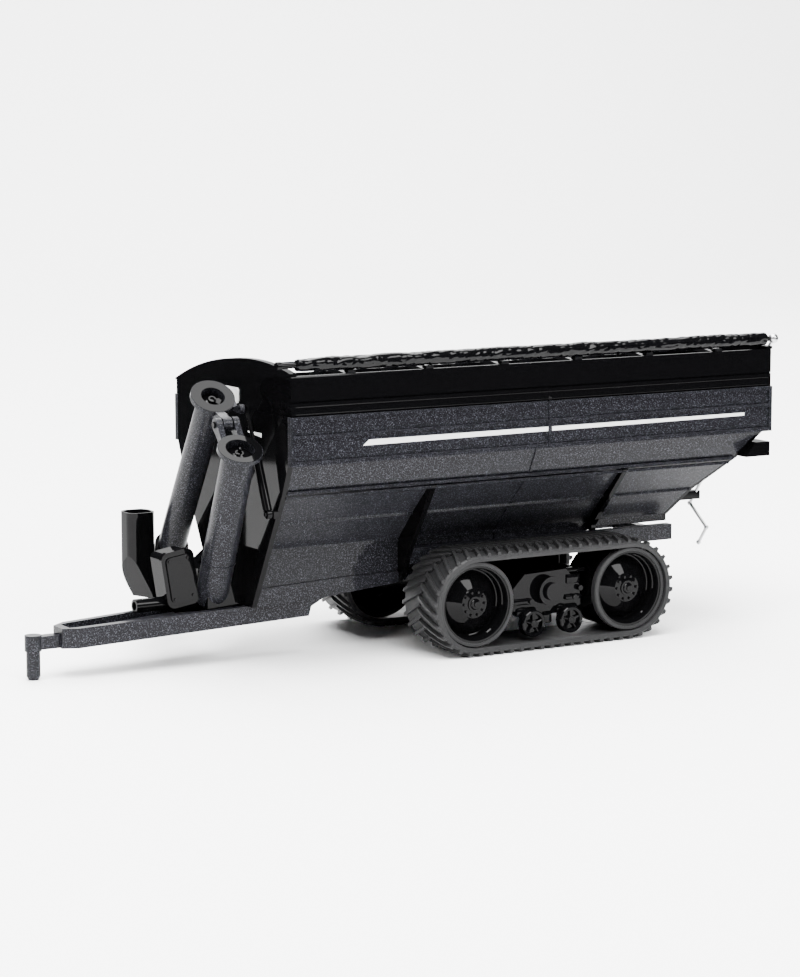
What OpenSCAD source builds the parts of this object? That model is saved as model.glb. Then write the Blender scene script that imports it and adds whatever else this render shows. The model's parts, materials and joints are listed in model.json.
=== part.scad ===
// Tracked grain cart, 1:64 collector model, with a folding unload auger.
// Millimetres. +Z up, hitch towards -X, unload (left) side towards -Y.
// The origin lies on the ground below the middle of the whole cart.

/* [Tank] */
// Length of the rim band, front face to rear face
tank_l = 126; // [110:1:160]
// Width over the rim bands
tank_w = 55.3; // [52:0.1:64]
// Height of the top of the rim band above the ground
deck_z = 55.7; // [55:0.1:62]
// Height of the rim band
band_h = 10.4; // [8:0.1:12]
// Thickness of the rim band
band_t = 1.4; // [1:0.1:2]
// Thickness of the tank sheets
sheet_t = 1.2; // [0.8:0.1:1.6]
// Height of the left extension above the band
left_ext_h = 8.6; // [6:0.1:12]
// Height of the right extension above the band
right_ext_h = 3.2; // [2.4:0.1:5]
// Thickness of the extension panels
ext_t = 1; // [0.8:0.1:1.4]
// Rise of the arched front end cap above the line between the extensions
arch_rise = 3.9; // [2:0.1:6]
// Rise of the flatter rear end cap
rear_arch_rise = 1.6; // [1:0.1:4]
// Depth of the skirt at the front, from the band's top
skirt_depth = 43.2; // [42:0.1:44]

/* [Hitch] */
// Distance from the tank front to the hitch pin axis
hitch_reach = 47.2; // [44:0.1:60]
// Radius of the hitch pin
hitch_pin_r = 1.5; // [1:0.1:2]
// Radius of the collar the hitch pin hangs from
hitch_collar_r = 1.8; // [1.6:0.1:2.4]
// Height of the drawbar rails
drawbar_h = 4.3; // [3.5:0.1:5]
// Thickness of the drawbar rails
drawbar_t = 1.7; // [1.2:0.1:2.5]

/* [Tracks] */
// Width of each belt
belt_w = 14.2; // [12:0.1:14.4]
// Distance between the front and rear wheel of a track
wheel_base = 40.6; // [38:0.1:44]
// Radius of the track wheels
wheel_r = 9.5; // [8.5:0.1:9.6]
// Thickness of the belt without its lugs
belt_t = 1.2; // [0.8:0.1:1.4]
// Height of the belt's lugs
lug_h = 0.8; // [0.4:0.1:1]
// Radius of the mid rollers
roller_r = 3; // [2.2:0.1:3.2]
// Radius of the axle's journals
journal_r = 2; // [1.6:0.1:2.4]
// Radius of the wheels' stub axles
stub_r = 1.2; // [1:0.1:1.6]
// Distance from the tank front to the track pivot
pivot_back = 66.9; // [64:0.1:80]

/* [Auger] */
// Radius of the lower auger tube
lower_r = 3.6; // [3:0.1:3.8]
// Radius of the upper auger tube
upper_r = 3.1; // [2.6:0.1:3.4]
// Wall of the auger tubes
tube_t = 0.5; // [0.4:0.05:0.8]
// Radius of the joint flanges
flange_r = 4.85; // [4.6:0.05:5.2]
// Length of the lower auger tube
lower_len = 41; // [39:0.5:41.5]
// Length of the upper auger tube
upper_len = 50; // [40:0.5:52]
// Lean of the lower auger towards the left side
auger_lean = 30; // [28:0.5:32]
// Angle left between the two tubes when folded
fold_spread = 8.5; // [6:0.5:12]
// Distance from the tube axis to the fold hinge
hinge_offset = 8.7; // [8:0.1:10]

/* [Tarp] */
// Radius of the rolled tarp
roll_r = 1.5; // [1:0.05:1.7]
// Number of tarp bows
bow_count = 6; // [4:1:9]
// Radius of a tarp bow
bow_r = 0.5; // [0.3:0.05:0.7]

/* [Fits] */
// Radial clearance of turning shafts
run_gap = 0.05; // [0.02:0.01:0.1]
// Gap between parts that move past each other
side_gap = 0.3; // [0.2:0.05:0.5]

/* [Hidden] */
$fn = 48;

// Colours
flake = "dimgray";
gloss = "black";
satin = "darkslategray";
bright = "silver";

// Overall layout along X
rear_overhang = 2.4;
overall_l = hitch_reach + hitch_collar_r + tank_l + rear_overhang;
tank_x = -overall_l / 2 + hitch_reach + hitch_collar_r;
rear_x = tank_x + tank_l;
half_w = tank_w / 2;

// Side sheet: distance in from the band, and height below the band's top
band_z = deck_z - band_h;
shoulder_in = 4.4;
shoulder_z = band_z - 6.2;
knee_in = 12.5;
knee_z = band_z - 14;
skirt_in = 18.8;
skirt_z = band_z - 20.8;
sill_z = deck_z - skirt_depth;
sheet_top = deck_z - 0.8;
shoulder_y = half_w - shoulder_in;
knee_y = half_w - knee_in;
skirt_y = half_w - skirt_in;
sheet_y = half_w - band_t;

// Rear wall: distance forward of the band's rear face
rear_shoulder = 6.7;
rear_knee = 13;
rear_skirt = 16.2;
rear_wall_x = rear_x - rear_skirt;
rear_floor_z = deck_z - 32.6;

// Drawbar and sill slope
slope = 2.4;
sill_len = 19;
gusset_x = tank_x + 36.8;
gusset_rear_x = tank_x + 87.4;
gusset_t = 1.2;
sill_end_z = sill_z + sill_len * tan(slope);
gusset_floor_z = sill_z + 2.4;
floor_rise_x = tank_x + 91;

// Track
belt_inner_r = wheel_r + side_gap / 3;
belt_outer_r = belt_inner_r + belt_t + lug_h;
wheel_z = belt_outer_r;
pivot_x = tank_x + pivot_back;
pivot_z = wheel_z + 1;
track_in = half_w - belt_w;

// Auger placement: the lower flange's face centre
flange_face = [tank_x - 9, -half_w + 5.7, deck_z - 6.5];
auger_rake = 5;
auger_twist = -6;
flange_t = 1;
fold_rest = fold_spread - 180;

// A line across the sill's and the drawbar's joint, sloping up to the rear
function slope_z(x) = sill_z + (x - tank_x) * tan(slope);
// Lower edge of the skirt
function skirt_edge() = [[tank_x + sheet_t, slope_z(tank_x + sheet_t)], [tank_x + sill_len, sill_end_z],
  [gusset_x, gusset_floor_z], [floor_rise_x, rear_floor_z]];
// Outline of the left side sheet, from the rim to the skirt
function side_line(grow) = [[-sheet_y - grow, sheet_top], [-sheet_y - grow, band_z],
  [-shoulder_y - grow, shoulder_z], [-knee_y - grow, knee_z], [-skirt_y - grow, skirt_z], [-skirt_y - grow, sill_z - 1]];
floor_tail = [rear_wall_x - sheet_t, rear_floor_z];
// Outline of the rear wall, moved forward by a shift
function rear_line(shift) = [[rear_x - band_t - shift, sheet_top], [rear_x - band_t - shift, band_z],
  [rear_x - rear_shoulder - shift, shoulder_z], [rear_x - rear_knee - shift, knee_z],
  [rear_wall_x - shift, skirt_z], [rear_wall_x - shift, rear_floor_z]];
function reversed(list) = [for (i = [len(list) - 1 : -1 : 0]) list[i]];
function flip(list) = [for (p = list) [-p[0], p[1]]];

// Rotations of a point, in degrees
function rot_x(v, a) = [v[0], v[1] * cos(a) - v[2] * sin(a), v[1] * sin(a) + v[2] * cos(a)];
function rot_y(v, a) = [v[0] * cos(a) + v[2] * sin(a), v[1], v[2] * cos(a) - v[0] * sin(a)];
function rot_z(v, a) = [v[0] * cos(a) - v[1] * sin(a), v[0] * sin(a) + v[1] * cos(a), v[2]];
function auger_point(v) = flange_face + rot_y(rot_x(rot_z(v, auger_twist), auger_lean), -auger_rake);
function upper_point(v) = auger_point([0, hinge_offset, 0] + rot_x(v + [0, -hinge_offset, side_gap], fold_rest));

// Extrusions of a (y, z) outline along X, and of an (x, z) outline along Y
module along_x(x, length) translate([x, 0, 0]) rotate([90, 0, 90]) linear_extrude(length) children();
module along_y(y, length) translate([0, y + length, 0]) rotate([90, 0, 0]) linear_extrude(length) children();
module on_side(side) mirror([0, side > 0 ? 1 : 0, 0]) children();
module auger_frame() translate(flange_face) rotate([auger_lean, -auger_rake, 0]) rotate([0, 0, auger_twist]) children();
module upper_frame() auger_frame() translate([0, hinge_offset, 0]) rotate([fold_rest, 0, 0])
  translate([0, -hinge_offset, side_gap]) children();
module ring(r_out, r_in, h) difference() {
  cylinder(r = r_out, h = h);
  translate([0, 0, -1]) cylinder(r = r_in, h = h + 2);
}
module slab(x0, x1, y0, y1, z0, z1) translate([x0, y0, z0]) cube([x1 - x0, y1 - y0, z1 - z0]);

// ---- Tank sheets ----
rib_out = 0.35;
module side_trim() along_y(-half_w, tank_w) polygon(concat(
  [[tank_x + sheet_t, sheet_top]], rear_line(sheet_t), reversed(skirt_edge())));
module side_sheet() intersection() {
  along_x(tank_x, tank_l) polygon(concat(side_line(0), reversed(side_line(-sheet_t))));
  side_trim();
}
module side_rib(y, z, h, out) slab(tank_x + sheet_t, rear_x - rear_shoulder - sheet_t, -y - out, -y, z - h / 2, z + h / 2);
module side_ribs() {
  intersection() {
    union() {
      side_rib(shoulder_y, shoulder_z, 0.7, rib_out * 2);
      side_rib(shoulder_y - 0.6, shoulder_z - 1.1, 0.6, rib_out * 2);
      side_rib(knee_y, knee_z, 0.6, rib_out);
      side_rib(skirt_y, skirt_z, 0.8, rib_out);
    }
    side_trim();
  }
  // Sill along the foot of the skirt
  intersection() {
    slab(tank_x + sheet_t, gusset_x, -skirt_y - 0.4, -skirt_y, sill_z - 1, sill_z + 4 + sill_len * tan(slope));
    side_trim();
    along_y(-half_w, tank_w) polygon([[tank_x, sill_z + 3.8], [tank_x + sill_len, sill_end_z + 3.8],
      [gusset_x, gusset_floor_z + 3], [gusset_x, 0], [tank_x, 0]]);
  }
}
module side_seam() intersection() {
  along_x(tank_x + 62, 0.5) difference() {
    polygon(concat(side_line(0.3), [[0, sill_z - 1], [0, sheet_top]]));
    polygon(concat(side_line(0), [[0, sill_z - 1], [0, sheet_top]]));
    translate([-tank_w, band_z]) square([2 * tank_w, tank_w]);
  }
  side_trim();
}
module gusset_outline() polygon([[-shoulder_y - 0.4, shoulder_z - 0.8], [-half_w + 15.2, deck_z - 35],
  [-half_w + 16.5, deck_z - 38.8], [-skirt_y, gusset_floor_z], [-skirt_y, skirt_z], [-knee_y, knee_z],
  [-shoulder_y, shoulder_z]]);
module rear_gusset_outline() polygon([[-shoulder_y - 0.4, shoulder_z - 0.8], [-half_w + 16.8, deck_z - 31.8],
  [-half_w + 16.8, rail_top], [-skirt_y, rail_top], [-skirt_y, skirt_z], [-knee_y, knee_z],
  [-shoulder_y, shoulder_z]]);
module tank_side(side) color(flake) on_side(side) union() {
  side_sheet();
  side_ribs();
  side_seam();
}
module tank_left_side() tank_side(-1);
module tank_right_side() tank_side(1);

// The end walls: outline with its flange standing out to the gussets' line
flange_out = 0.4;
flange_foot = skirt_y + flange_out;
flange_head = shoulder_y + flange_out;
auger_port_z = sill_z + 5.9;
module tank_front_wall() color(gloss) difference() {
  along_x(tank_x, sheet_t) polygon([[-sheet_y, band_z], [-flange_head, shoulder_z], [-flange_foot, sill_z],
    [flange_foot, sill_z], [flange_head, shoulder_z], [sheet_y, band_z]]);
  along_x(tank_x - 1, 4) translate([0, auger_port_z]) circle(r = floor_auger_r + side_gap);
}
module tank_rear_wall() color(gloss) intersection() {
  along_y(-half_w, tank_w) polygon(concat(rear_line(0), reversed(rear_line(sheet_t))));
  along_x(tank_x, tank_l) polygon(concat(side_line(0), reversed(flip(side_line(0)))));
}
module tank_floor() color(gloss) along_y(-skirt_y + sheet_t, 2 * (skirt_y - sheet_t)) polygon(concat(
  skirt_edge(), [floor_tail], [floor_tail + [0, sheet_t]], reversed([for (p = skirt_edge()) p + [0, sheet_t]])));

// ---- Rim band ----
frame_w = 0.9;
upper_panel_h = 3.1;
ridge_h = 0.8;
ridge_z = band_h - frame_w - upper_panel_h - ridge_h;
recess = 0.4;
lap_x = tank_x + 64.5;
lap_w = 0.8;
lap_line = 0.3;
module band_face(length) difference() {
  cube([length, band_t, band_h]);
  translate([frame_w, -1, ridge_z + ridge_h]) cube([length - 2 * frame_w, 1 + recess, upper_panel_h]);
  translate([frame_w, -1, frame_w]) cube([length - 2 * frame_w, 1 + recess, ridge_z - frame_w]);
}
module side_band(side) color(flake) on_side(side) union() {
  difference() {
    translate([tank_x, -half_w, band_z]) band_face(tank_l);
    // Lap joint line at mid length
    slab(lap_x - lap_line, lap_x, -half_w - 1, -half_w + lap_line, band_z - 1, deck_z + 1);
  }
  slab(lap_x, lap_x + lap_w, -half_w, -half_w + recess, band_z + frame_w, deck_z - frame_w);
}
module left_rim_band() side_band(-1);
module right_rim_band() side_band(1);
module front_rim_band() color(gloss) slab(tank_x, tank_x + sheet_t, -sheet_y, sheet_y, band_z, deck_z);
module rear_rim_band() color(flake) slab(rear_x - band_t, rear_x, -sheet_y, sheet_y, band_z, deck_z);

// ---- Upper extensions, seated on the band ----
groove_z = 2.9;
groove_h = 0.35;
module ext_profile(h) polygon([[0, 0], [0, groove_z], [0.3, groove_z], [0.3, groove_z + groove_h],
  [0, groove_z + groove_h], [0, h - 0.3], [0.15, h], [ext_t, h], [ext_t, 0]]);
module low_profile(h) polygon([[0, 0], [0, h - 0.3], [0.15, h], [ext_t, h], [ext_t, 0]]);
ext_in = 0.3;
module left_extension() color(gloss)
  translate([0, -half_w + ext_in, deck_z]) along_x(tank_x + ext_in, tank_l - 2 * ext_in) ext_profile(left_ext_h);
module right_extension() color(gloss) mirror([0, 1, 0])
  translate([0, -half_w + ext_in, deck_z]) along_x(tank_x + ext_in, tank_l - 2 * ext_in) low_profile(right_ext_h);
ext_y = half_w - ext_in - ext_t;
module end_extension(x) color(gloss) along_x(x, ext_t) polygon([[-ext_y, deck_z], [ext_y, deck_z],
  [ext_y, deck_z + right_ext_h], [-ext_y, deck_z + left_ext_h]]);
module front_extension() difference() {
  end_extension(tank_x + ext_in);
  color(gloss) window_block(window_w - window_lip, window_h - window_lip, tank_x - 1, 4);
}
module rear_extension() end_extension(rear_x - ext_in - ext_t);

// Arched end caps between the two extension heights
function chord_z(y) = deck_z + (left_ext_h + right_ext_h) / 2 - y / (2 * ext_y) * (left_ext_h - right_ext_h);
cap_steps = 24;
cap_foot = 0.5;
cap_t = 1.6;
cap_y = ext_y + ext_t;
arch_power = 2.2;
function arch(t) = 1 - pow(abs(2 * t - 1), arch_power);
function arch_point(t, rise) = let (y = cap_y * (2 * t - 1)) [y, chord_z(y) + cap_foot + rise * arch(t)];
module end_cap(x, rise) color(gloss) along_x(x, cap_t) polygon(concat(
  [[cap_y, deck_z + right_ext_h], [ext_y, deck_z + right_ext_h], [-ext_y, deck_z + left_ext_h],
    [-cap_y, deck_z + left_ext_h]], [for (i = [0 : cap_steps]) arch_point(i / cap_steps, rise)]));
module front_end_cap() end_cap(tank_x, arch_rise);
module rear_end_cap() end_cap(rear_x - cap_t, rear_arch_rise);

// Bows: a bar across, hooked over the left extension's top under the roll
bow_first = 15;
bow_drop = 0.9;
bow_flat = 0.6;
hook_t = 0.7;
hook_half = 0.9;
function bow_x(i) = tank_x + bow_first + i * (tank_l - 2 * bow_first) / (bow_count - 1);
function bow_point(t, off) = let (y = ext_y * (2 * t - 1))
  [y, chord_z(y) - bow_drop + off + (arch_rise - bow_flat) * arch(t)];
module tarp_bow(i) union() {
  along_x(bow_x(i) - bow_r, 2 * bow_r) polygon(concat([for (k = [0 : cap_steps]) bow_point(k / cap_steps, bow_r)],
    [for (k = [cap_steps : -1 : 0]) bow_point(k / cap_steps, -bow_r)]));
  slab(bow_x(i) - bow_r, bow_x(i) + bow_r, -ext_y, -ext_y + 2 * bow_r, chord_z(-ext_y) - bow_drop,
    deck_z + left_ext_h + hook_t);
  slab(bow_x(i) - hook_half, bow_x(i) + hook_half, -cap_y + ext_in, -ext_y + 2 * bow_r, deck_z + left_ext_h,
    deck_z + left_ext_h + hook_t);
}
module tarp_bows() color(satin) for (i = [0 : bow_count - 1]) tarp_bow(i);

// Sight window in the front extension
window_w = 7;
window_h = 3.4;
window_z = deck_z + 2.4;
window_lip = 1.2;
window_out = 0.35;
module rounded(w, h, r) {
  square([w - 2 * r, h], center = true);
  square([w, h - 2 * r], center = true);
  for (x = [-1, 1], y = [-1, 1]) translate([x * (w / 2 - r), y * (h / 2 - r)]) circle(r = r);
}
module window_block(w, h, x, t) along_x(x, t) translate([0, window_z]) rounded(w, h, 0.8);
module sight_window() color("white") union() {
  window_block(window_w, window_h, tank_x + ext_in - window_out, window_out);
  window_block(window_w - window_lip, window_h - window_lip, tank_x + ext_in, ext_t - 0.2);
}

// ---- Gussets, chassis, axle ----
rail_top = deck_z - 33;
rail_bottom = deck_z - 36.6;
rail_y = skirt_y + 3;
rail_t = 2.2;
rail_front = gusset_x + gusset_t;
rail_rear = rear_wall_x - 0.4;
cross_t = 2;
module gusset_plates() color(gloss) for (side = [-1, 1]) on_side(side) difference() {
  union() {
    along_x(gusset_x, gusset_t) gusset_outline();
    along_x(gusset_rear_x, gusset_t) rear_gusset_outline();
  }
  side_ribs();
}
module chassis_rails() color(flake) union() {
  for (side = [-1, 1]) on_side(side)
    slab(rail_front, rail_rear, -rail_y, -rail_y + rail_t, rail_bottom, rail_top);
  slab(rail_rear - cross_t, rail_rear, -rail_y + rail_t, rail_y - rail_t, rail_bottom, rail_bottom + cross_t);
}
beam_r = 2.6;
module axle_beam() color(gloss) union() {
  along_y(-track_in + side_gap, 2 * (track_in - side_gap)) translate([pivot_x, pivot_z]) circle(r = beam_r);
  along_y(-half_w + hub_face, tank_w - 2 * hub_face) translate([pivot_x, pivot_z]) circle(r = journal_r);
}
saddle_half = 9;
saddle_foot = beam_r + 1;
saddle_z = pivot_z - beam_r - 0.6;
module axle_saddle() color(gloss) difference() {
  for (side = [-1, 1]) on_side(side) along_y(-rail_y, rail_t) polygon([
    [pivot_x - saddle_half, rail_bottom], [pivot_x + saddle_half, rail_bottom],
    [pivot_x + saddle_foot, saddle_z], [pivot_x - saddle_foot, saddle_z]]);
  along_y(-half_w, tank_w) translate([pivot_x, pivot_z]) circle(r = beam_r);
}

// ---- Drawbar and hitch ----
bar_front = tank_x - 41.5;
bar_rear = tank_x + 18.5;
bar_gap = 0.01;
function bar_top(x) = slope_z(x) - bar_gap;
bar_nose = 2.3;
bar_shoulder = 4.4;
bar_tail = skirt_y;
module drawbar_plan(inset) polygon([[bar_front + inset, -bar_nose], [bar_front + 3 + inset / 2, -bar_shoulder + inset],
  [bar_rear + 1, -bar_tail + inset], [bar_rear + 1, bar_tail - inset], [bar_front + 3 + inset / 2, bar_shoulder - inset],
  [bar_front + inset, bar_nose]]);
module drawbar_side() polygon([[bar_front, bar_top(bar_front)], [bar_rear, bar_top(bar_rear)],
  [bar_rear - 3.4, bar_top(bar_rear) - 1.9], [bar_rear - 4, bar_top(bar_rear) - drawbar_h + 0.3],
  [bar_front, bar_top(bar_front) - drawbar_h]]);
module drawbar() color(flake) difference() {
  intersection() {
    linear_extrude(deck_z) drawbar_plan(0);
    along_y(-half_w, tank_w) drawbar_side();
  }
  difference() {
    linear_extrude(deck_z) drawbar_plan(drawbar_t);
    along_y(-half_w, tank_w) polygon([[bar_front, bar_top(bar_front) - web_drop - web_t], [bar_rear + 1, bar_top(bar_rear) - web_drop - web_t],
      [bar_rear + 1, bar_top(bar_rear) - web_drop], [bar_front, bar_top(bar_front) - web_drop]]);
  }
}
web_drop = 1.4;
web_t = 0.9;
pin_x = tank_x - hitch_reach;
pin_top = deck_z - 47.3;
pin_lead = 0.8;
tongue_half = 1.3;
tongue_t = 2.2;
tongue_rise = 1.2;
module hitch_pin() color(flake) union() {
  translate([pin_x, 0, 0]) cylinder(r1 = hitch_pin_r - pin_lead / 2, r2 = hitch_pin_r, h = pin_lead);
  translate([pin_x, 0, pin_lead]) cylinder(r = hitch_pin_r, h = pin_top - tongue_t - pin_lead);
  translate([pin_x, 0, pin_top - tongue_t]) cylinder(r = hitch_collar_r, h = tongue_t + tongue_rise);
  slab(pin_x, bar_front, -tongue_half, tongue_half, pin_top - tongue_t + side_gap, pin_top + tongue_rise - side_gap);
}

// ---- Boot, lower auger, gearbox ----
floor_auger_r = 3.5;
boot_x = tank_x - 8.6;
boot_half = 5.3;
boot_h = 13;
boot_cut = 5;
boot_wall = 1.2;
module auger_boot() color(gloss) difference() {
  along_y(-boot_half, 2 * boot_half) polygon([[boot_x, bar_top(boot_x)], [tank_x, bar_top(tank_x)],
    [tank_x, sill_z + boot_h], [boot_x + boot_cut, sill_z + boot_h - 1], [boot_x, sill_z + boot_h - boot_cut]]);
  auger_frame() translate([0, 0, -lower_len]) cylinder(r = lower_r, h = lower_len);
  auger_frame() translate([0, 0, -lower_len - 1]) cylinder(r = lower_r - tube_t, h = 2);
  along_x(boot_x + boot_wall, tank_l) translate([0, auger_port_z]) circle(r = floor_auger_r + side_gap);
}
ear_r = 1.5;
ear_w = 1.3;
mid_ear = 2;
pin_r = 0.7;
ear_mid = mid_ear / 2 + side_gap + ear_w / 2;
module ear(u0, u1, foot, bore) translate([u0, 0, 0]) rotate([90, 0, 90]) linear_extrude(u1 - u0) difference() {
  union() {
    circle(r = ear_r);
    polygon([[0, ear_r], [0, -ear_r], [-hinge_offset + lower_r - 0.5, -foot - 1.6], [-hinge_offset + lower_r - 0.5, -foot]]);
  }
  circle(r = bore);
}
module lower_auger_tube() color(flake) auger_frame() difference() {
  union() {
    translate([0, 0, -lower_len]) cylinder(r = lower_r, h = lower_len);
    translate([0, 0, -flange_t]) cylinder(r = flange_r, h = flange_t);
    translate([0, 0, -lower_len + 11]) cylinder(r = lower_r + 0.15, h = 0.6);
    for (s = [-1, 1]) translate([0, hinge_offset, 0]) ear(s * ear_mid - ear_w / 2, s * ear_mid + ear_w / 2, 1, pin_r);
  }
  translate([0, 0, -lower_len - 1]) cylinder(r = lower_r - tube_t, h = lower_len + 2);
}
hinge_half = mid_ear / 2 + side_gap + ear_w + 0.4;
module fold_hinge_pin() color(bright) auger_frame() translate([-hinge_half, hinge_offset, 0]) rotate([0, 90, 0])
  cylinder(r = pin_r, h = 2 * hinge_half);

// Lever on the upper tube's flange that the fold cylinder works
lever_r = 3;
lever_angle = 210.5;
lever_u = 3.5;
lever_t = 1;
lever_tip = [lever_r * cos(lever_angle), lever_r * sin(lever_angle)];
module fold_lever() translate([lever_u, hinge_offset, -side_gap]) rotate([90, 0, 90]) linear_extrude(lever_t)
  difference() {
    union() {
      translate(lever_tip) circle(r = 1);
      polygon([[-hinge_offset, side_gap], [-hinge_offset, side_gap + 1.2], [-5.4, side_gap + 1.2],
        lever_tip + [0.3, 0.9], lever_tip + [-0.9, -0.3], [-5, side_gap]]);
    }
    translate(lever_tip) circle(r = eye_bore);
  }
module upper_auger_tube() color(flake) upper_frame() difference() {
  union() {
    cylinder(r = upper_r, h = upper_len);
    cylinder(r = flange_r, h = flange_t);
    translate([0, hinge_offset, -side_gap]) mirror([0, 0, 1]) ear(-mid_ear / 2, mid_ear / 2, 1, pin_r + run_gap);
    fold_lever();
  }
  translate([0, 0, -1]) cylinder(r = upper_r - tube_t, h = upper_len + 2);
}
// Helical flighting on a shaft
module screw_blade(r, length, pitch) linear_extrude(height = length, twist = -360 * length / pitch,
  slices = ceil(length / pitch * 12), $fn = 4) translate([0, -0.25]) square([r, 0.5]);
module auger_screw(r, length, pitch) union() {
  screw_blade(r, length, pitch);
  cylinder(r = 0.9, h = length, $fn = 16);
}
module lower_flighting() color(bright) auger_frame() translate([0, 0, -lower_len + 2])
  auger_screw(lower_r - tube_t - side_gap, lower_len - 3, 8);
module upper_flighting() color(bright) upper_frame() translate([0, 0, 1])
  auger_screw(upper_r - tube_t - side_gap, upper_len - 3, 8);
floor_start = [tank_x - 1.4, 0, auger_port_z - 0.1];
floor_end = [rear_wall_x - sheet_t - 1.4, 0, deck_z - 26];
floor_tilt = atan2(floor_end[2] - floor_start[2], floor_end[0] - floor_start[0]);
floor_len = norm(floor_end - floor_start);
module floor_auger() color(bright) translate(floor_start) rotate([0, 90 - floor_tilt, 0])
  auger_screw(floor_auger_r - side_gap, floor_len, 9);

gear_tilt = -9;
gear_w = 6.4;
gear_l = 7;
gear_h = 11.6;
gear_round = 1.4;
cover_t = 0.4;
gear_at = [tank_x - 14, 0, deck_z - 36.4];
module gearbox_place() translate(gear_at) rotate([0, gear_tilt, 0]) children();
spigot_r = 2.3;
rim_w = 1.2;
rim_out = 0.4;
module gearbox_slice(y, w, grow) gearbox_place() translate([0, y, 0]) rotate([90, 0, 0]) linear_extrude(w)
  rounded(gear_l + 2 * grow, gear_h + 2 * grow, gear_round + grow);
module gearbox_case() color(gloss) difference() {
  union() {
    gearbox_slice(gear_w / 2, gear_w, 0);
    gearbox_slice(-gear_w / 2 + rim_w, rim_w, rim_out);
    along_x(gear_at[0], boot_x - gear_at[0]) translate([0, pto_z]) circle(r = spigot_r);
  }
  along_x(pto_front, pto_rear + side_gap - pto_front) translate([0, pto_z]) circle(r = pto_r + run_gap);
  auger_frame() translate([0, 0, -lower_len - 1]) cylinder(r = lower_r + side_gap, h = lower_len);
}
module gearbox_cover() color(gloss) gearbox_place() translate([0, -gear_w / 2, 0]) rotate([90, 0, 0]) union() {
  linear_extrude(cover_t) rounded(gear_l - 1.2, gear_h - 1.6, 1);
  for (x = [-1, 1], y = [-1, 1]) translate([x * (gear_l / 2 - 1.3), y * (gear_h / 2 - 1.6), cover_t])
    cylinder(r = 0.35, h = 0.25);
}
pto_r = 1.5;
pto_z = deck_z - 42.1;
pto_front = tank_x - 23.6;
pto_rear = tank_x - 11.5;
pto_bore = 0.95;
pto_bore_len = 3.5;
module pto_shaft() color(gloss) difference() {
  along_x(pto_front, pto_rear - pto_front) translate([0, pto_z]) circle(r = pto_r);
  along_x(pto_front - 1, pto_bore_len + 1) translate([0, pto_z]) circle(r = pto_bore);
}

// ---- Discharge spout: a collar on the upper tube, an elbow and an open hood with a cut-off foot ----
tube_end = upper_point([0, 0, upper_len]);
chute_t = 0.5;
collar_len = 3.4;
collar_t = 0.7;
collar_over = 3;
hood_w = 6.6;
hood_corner = 2.2;
hood_x = 7.7;
hood_top = 10.4;
elbow_back = 5;
elbow_out = 3.6;
elbow_top = 3.6;
elbow_bottom = 9.2;
// The foot's cut falls by these amounts for each millimetre along X and Y
cut_fall_x = 1.93;
cut_fall_y = 0.67;
cut_drop = 6.7;
cut_reach = 30;
// The hood's section standing on its slanted foot, shrunk by the wall for the hollow
module spout_hood(in, lift) translate(tube_end + [-hood_x, 0, -cut_drop]) intersection() {
  translate([0, 0, cut_drop - elbow_bottom + in]) linear_extrude(elbow_bottom + hood_top + lift - in)
    rounded(hood_w - 2 * in, hood_w - 2 * in, hood_corner - in);
  rotate([0, atan(norm([cut_fall_x, cut_fall_y])), atan2(cut_fall_y, cut_fall_x)])
    translate([-cut_reach, -cut_reach, in]) cube(2 * cut_reach);
}
module spout_body(in, lift) union() {
  spout_hood(in, lift);
  translate(tube_end) slab(-elbow_back, elbow_out - in, -hood_w / 2 + in, hood_w / 2 - in,
    -elbow_bottom + in, -elbow_top - in);
}
module spout_collar() intersection() {
  upper_frame() translate([0, 0, upper_len - collar_len]) cylinder(r = upper_r + collar_t, h = collar_len + collar_over);
  translate(tube_end) slab(-cut_reach, cut_reach, -cut_reach, half_w - tube_end[1], -cut_reach, cut_reach);
}
module discharge_spout() color(gloss) difference() {
  union() {
    spout_collar();
    spout_body(0, 0);
  }
  upper_frame() translate([0, 0, upper_len - collar_len - elbow_back])
    cylinder(r = upper_r + run_gap, h = collar_len + elbow_back + side_gap);
  upper_frame() translate([0, 0, upper_len]) cylinder(r = upper_r - tube_t, h = elbow_top + 1);
  spout_body(chute_t, 1);
}

// ---- Fold cylinder: from the front wall's edge to the lever ----
rod_r = 0.45;
barrel_r = 0.95;
eye_bore = 0.45;
eye_r = 1;
eye_u = lever_u + lever_t + side_gap;
cyl_foot = [tank_x - 2.2, -half_w + 6.15, deck_z - 20.9];
cyl_head = auger_point([eye_u + 0.5, hinge_offset, 0] + rot_x([0, lever_tip[0], lever_tip[1]], fold_rest));
cyl_dir = (cyl_head - cyl_foot) / norm(cyl_head - cyl_foot);
cyl_len = norm(cyl_head - cyl_foot);
cyl_pitch = acos(cyl_dir[2]);
cyl_yaw = atan2(cyl_dir[1], cyl_dir[0]);
barrel_len = cyl_len * 0.52;
barrel_foot = 0.7;
foot_pin_r = 0.5;
eye_w = 1;
foot_reach = 0.9;
module cylinder_place() translate(cyl_foot) rotate([0, 0, cyl_yaw]) rotate([0, cyl_pitch, 0]) children();
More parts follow.
